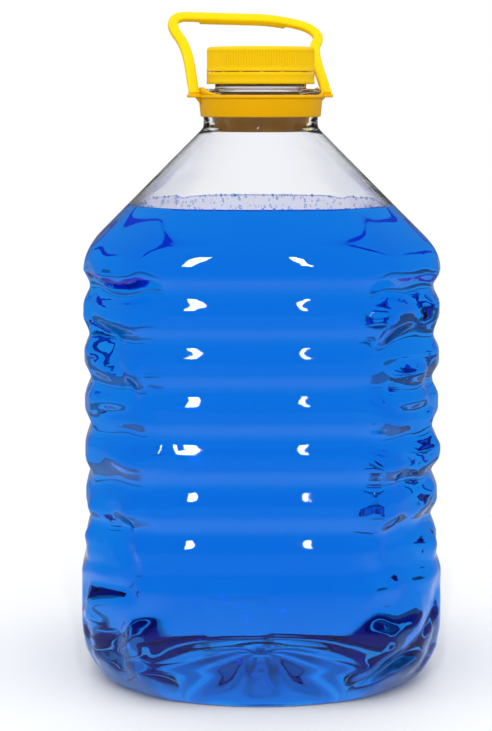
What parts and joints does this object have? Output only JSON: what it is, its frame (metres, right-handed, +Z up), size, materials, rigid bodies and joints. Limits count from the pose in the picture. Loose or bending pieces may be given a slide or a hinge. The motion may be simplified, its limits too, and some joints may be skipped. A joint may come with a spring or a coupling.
{
  "type": "windshield washer fluid jug",
  "caption": "Clear ribbed square bottle with chamfered corners, filled with blue washer fluid, with a yellow screw cap and a swinging carry handle on its neck.",
  "frame": {"origin": "centre of the base, on the surface that the bottle stands on", "axes": "+Z up along the bottle's axis, -Y towards the front face, +X to the right seen from the front"},
  "size_m": [0.1662, 0.1662, 0.3067],
  "materials": {
    "clear_pet": "clear gloss",
    "blue_fluid": "clear",
    "cap_plastic": "satin",
    "liner_foam": "matte",
    "handle_plastic": "satin"
  },
  "bodies": {
    "jug": {"bottle": "clear_pet", "neck_stem": "clear_pet", "neck_finish": "clear_pet", "washer_fluid": "blue_fluid", "tamper_band": "cap_plastic"},
    "liner": {"cap_liner": "liner_foam"},
    "cap": {"screw_cap": "cap_plastic"},
    "collar": {"handle_collar": "handle_plastic"},
    "bail": {"carry_bail": "handle_plastic"}
  },
  "joints": [
    {"name": "handle_swivel", "type": "hinge", "parent": "jug", "child": "collar", "pos_m": [0, 0, 0.262], "axis": [0, 0, 1], "continuous": true},
    {"name": "bail_swing", "type": "hinge", "parent": "collar", "child": "bail", "pos_m": [0, 0, 0.26928], "axis": [0.9703, 0.2419, 0], "range_deg": [-41, 129]},
    {"name": "cap_lift", "type": "slide", "parent": "jug", "child": "liner", "axis": [0, 0, 1], "range_m": [0, 0.0081]},
    {"name": "cap_turn", "type": "hinge", "parent": "liner", "child": "cap", "pos_m": [0, 0, 0.284], "axis": [0, 0, 1], "range_deg": [0, 720]}
  ],
  "couplings": [
    {"joint": "cap_lift", "follows": "cap_turn", "m_per_rad": 0.00063662}
  ]
}
